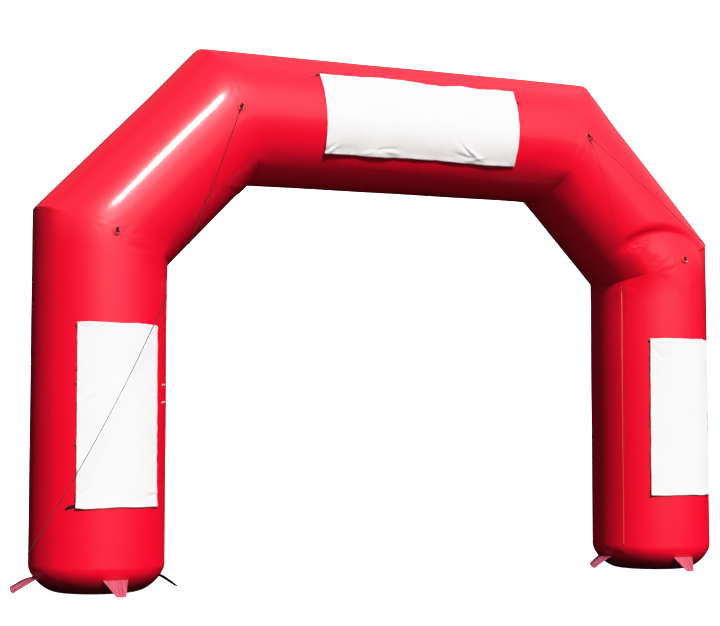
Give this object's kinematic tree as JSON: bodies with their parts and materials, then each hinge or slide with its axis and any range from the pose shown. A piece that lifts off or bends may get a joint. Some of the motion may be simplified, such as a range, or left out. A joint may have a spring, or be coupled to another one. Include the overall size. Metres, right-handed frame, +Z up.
{
  "type": "inflatable arch",
  "caption": "Airtight inflatable gateway arch: mitred round tube with cut-off upper corners, blank tied-on banners, anchor tabs at its feet and guy ropes from D-rings.",
  "frame": {"origin": "on the ground, midway between the two legs, in the plane of the tubes' axes", "axes": "+X across the arch towards its right leg as seen from the front, +Z up, and the front with the banners faces -Y"},
  "size_m": [7.0235, 2.6341, 4.135],
  "materials": {
    "red_pvc": "glossy coated fabric",
    "white_cloth": "smooth satin banner cloth",
    "pink_pvc": "semi-gloss coated fabric, a little translucent",
    "black_webbing": "matte woven webbing",
    "steel": "satin bent wire",
    "rope": "braided cord"
  },
  "bodies": {
    "root": {"left_leg": "red_pvc", "right_leg": "red_pvc", "left_shoulder": "red_pvc", "right_shoulder": "red_pvc", "top_beam": "red_pvc", "left_base": "red_pvc", "right_base": "red_pvc", "top_banner": "white_cloth", "left_banner": "white_cloth", "right_banner": "white_cloth", "top_tie_1": "black_webbing", "top_tie_2": "black_webbing", "top_tie_3": "black_webbing", "top_tie_4": "black_webbing", "left_tie_1": "black_webbing", "left_tie_2": "black_webbing", "left_tie_3": "black_webbing", "left_tie_4": "black_webbing", "left_tie_5": "black_webbing", "left_tie_6": "black_webbing", "right_tie_1": "black_webbing", "right_tie_2": "black_webbing", "right_tie_3": "black_webbing", "right_tie_4": "black_webbing", "keeper_upper": "pink_pvc", "keeper_lower": "pink_pvc", "left_tab_front": "pink_pvc", "left_tab_inner": "pink_pvc", "left_tab_back": "pink_pvc", "left_tab_outer": "pink_pvc", "right_tab_front": "pink_pvc", "right_tab_inner": "pink_pvc", "right_tab_back": "pink_pvc", "right_tab_outer": "pink_pvc", "upper_left_pad": "red_pvc", "upper_left_strap": "black_webbing", "upper_left_ring": "steel", "upper_right_pad": "red_pvc", "upper_right_strap": "black_webbing", "upper_right_ring": "steel", "lower_left_pad": "red_pvc", "lower_left_strap": "black_webbing", "lower_left_ring": "steel", "lower_right_pad": "red_pvc", "lower_right_strap": "black_webbing", "lower_right_ring": "steel", "left_rope": "rope", "left_hitch": "rope", "left_peg_knot": "rope", "left_peg_eye": "rope", "right_rope": "rope", "right_hitch": "rope", "right_peg_knot": "rope", "right_peg_eye": "rope"}
  },
  "joints": []
}
